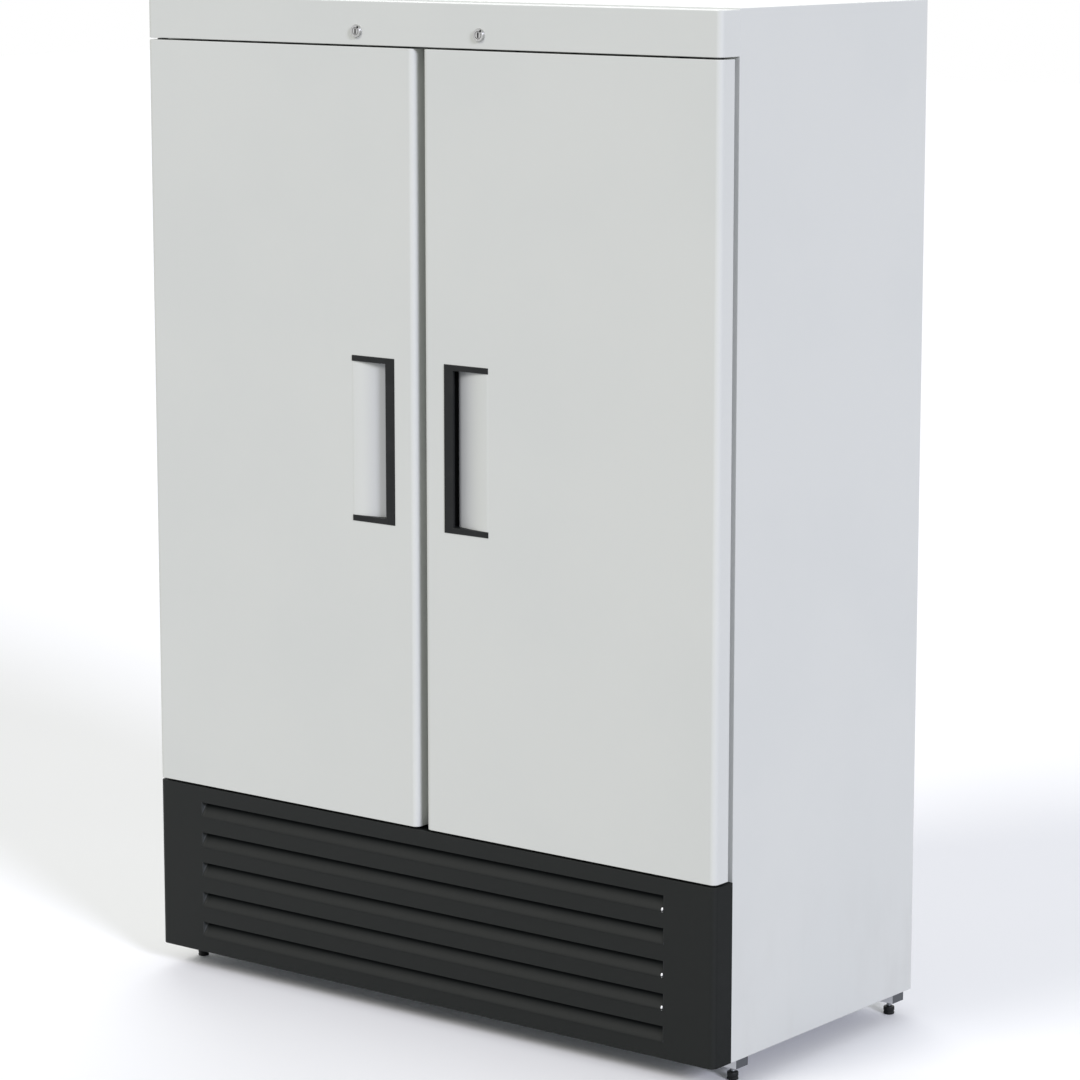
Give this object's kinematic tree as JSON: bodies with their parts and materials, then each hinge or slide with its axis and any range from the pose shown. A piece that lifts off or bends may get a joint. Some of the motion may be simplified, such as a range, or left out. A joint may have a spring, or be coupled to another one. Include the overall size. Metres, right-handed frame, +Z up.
{
  "type": "upright two-door refrigerator",
  "caption": "White upright refrigerator with solid doors side by side, black recessed handles, key locks in the fascia, a dark louvred base panel and levelling feet",
  "frame": {"origin": "on the floor, under the centre of the object's box", "axes": "X to the right as seen from the front, Y to the back, Z up; the doors face -Y"},
  "size_m": [1.4, 0.677, 1.9885],
  "materials": {
    "white_paint": "satin",
    "liner_paint": "satin",
    "charcoal_paint": "satin",
    "seal_rubber": "matt",
    "black_plastic": "matt",
    "lock_chrome": "bright",
    "bush_plastic": "satin",
    "zinc_steel": "satin",
    "shelf_wire": "plastic coated",
    "coil_fins": "bare",
    "black_paint": "gloss",
    "copper": "bare copper",
    "hose_plastic": "satin",
    "lamp_cover": "frosted"
  },
  "bodies": {
    "cabinet": {"back_panel": "white_paint", "base_pan": "zinc_steel", "cable_gland": "black_plastic", "centre_mullion": "white_paint", "compressor": "black_paint", "condenser_coil": "coil_fins", "condenser_fan_motor": "black_paint", "control_box": "black_plastic", "drain_hose": "hose_plastic", "evaporation_tray": "black_plastic", "evaporator_coil": "coil_fins", "evaporator_fan_motors": "black_paint", "evaporator_housing": "liner_paint", "fan_shroud": "black_plastic", "filter_drier": "copper", "floor_panel": "white_paint", "foot_brackets": "zinc_steel", "header_beam": "white_paint", "inner_liner": "liner_paint", "interior_lamps": "lamp_cover", "left_shelf_1": "shelf_wire", "left_shelf_2": "shelf_wire", "left_shelf_3": "shelf_wire", "left_shelf_4": "shelf_wire", "left_wall": "white_paint", "lock_housings": "lock_chrome", "louvre_panel": "charcoal_paint", "lower_hinges": "zinc_steel", "rear_vent_panel": "zinc_steel", "refrigerant_pipes": "copper", "right_shelf_1": "shelf_wire", "right_shelf_2": "shelf_wire", "right_shelf_3": "shelf_wire", "right_shelf_4": "shelf_wire", "right_wall": "white_paint", "roof_panel": "white_paint", "shelf_clips": "zinc_steel", "shelf_strips": "zinc_steel", "top_fascia": "white_paint", "upper_hinges": "zinc_steel"},
    "right_door": {"right_door_skin": "white_paint", "right_door_liner": "white_paint", "right_door_gasket": "seal_rubber", "right_door_handle": "black_plastic", "right_door_bushes": "bush_plastic"},
    "left_door": {"left_door_skin": "white_paint", "left_door_liner": "white_paint", "left_door_gasket": "seal_rubber", "left_door_handle": "black_plastic", "left_door_bushes": "bush_plastic"},
    "right_lock": {"lock_barrel_right": "lock_chrome"},
    "left_lock": {"lock_barrel_left": "lock_chrome"},
    "condenser_fan_rotor": {"condenser_fan": "black_plastic"},
    "right_evaporator_fan": {"evaporator_fan_right": "black_plastic"},
    "left_evaporator_fan": {"evaporator_fan_left": "black_plastic"},
    "front_left_foot": {"foot_front_left": "zinc_steel"},
    "front_right_foot": {"foot_front_right": "zinc_steel"},
    "rear_left_foot": {"foot_rear_left": "zinc_steel"},
    "rear_right_foot": {"foot_rear_right": "zinc_steel"}
  },
  "joints": [
    {"name": "right_door_hinge", "type": "hinge", "parent": "cabinet", "child": "right_door", "pos_m": [0.678, -0.3115, 0.3958], "axis": [0, 0, 1], "range_deg": [0, 110]},
    {"name": "left_door_hinge", "type": "hinge", "parent": "cabinet", "child": "left_door", "pos_m": [-0.678, -0.3115, 0.3958], "axis": [0, 0, -1], "range_deg": [0, 110]},
    {"name": "right_lock_turn", "type": "hinge", "parent": "cabinet", "child": "right_lock", "pos_m": [0.15, -0.3335, 1.929], "axis": [0, 1, 0], "range_deg": [0, 90]},
    {"name": "left_lock_turn", "type": "hinge", "parent": "cabinet", "child": "left_lock", "pos_m": [-0.15, -0.3335, 1.929], "axis": [0, -1, 0], "range_deg": [0, 90]},
    {"name": "condenser_fan_spin", "type": "hinge", "parent": "cabinet", "child": "condenser_fan_rotor", "pos_m": [0.37, -0.1645, 0.2049], "axis": [0, 1, 0], "continuous": true},
    {"name": "right_evaporator_fan_spin", "type": "hinge", "parent": "cabinet", "child": "right_evaporator_fan", "pos_m": [0.165, 0.0134, 1.8565], "axis": [0, 1, 0], "continuous": true},
    {"name": "left_evaporator_fan_spin", "type": "hinge", "parent": "cabinet", "child": "left_evaporator_fan", "pos_m": [-0.165, 0.0134, 1.8565], "axis": [0, 1, 0], "continuous": true},
    {"name": "front_left_foot_level", "type": "slide", "parent": "cabinet", "child": "front_left_foot", "axis": [0, 0, -1], "range_m": [0, 0.015]},
    {"name": "front_right_foot_level", "type": "slide", "parent": "cabinet", "child": "front_right_foot", "axis": [0, 0, -1], "range_m": [0, 0.015]},
    {"name": "rear_left_foot_level", "type": "slide", "parent": "cabinet", "child": "rear_left_foot", "axis": [0, 0, -1], "range_m": [0, 0.015]},
    {"name": "rear_right_foot_level", "type": "slide", "parent": "cabinet", "child": "rear_right_foot", "axis": [0, 0, -1], "range_m": [0, 0.015]}
  ]
}
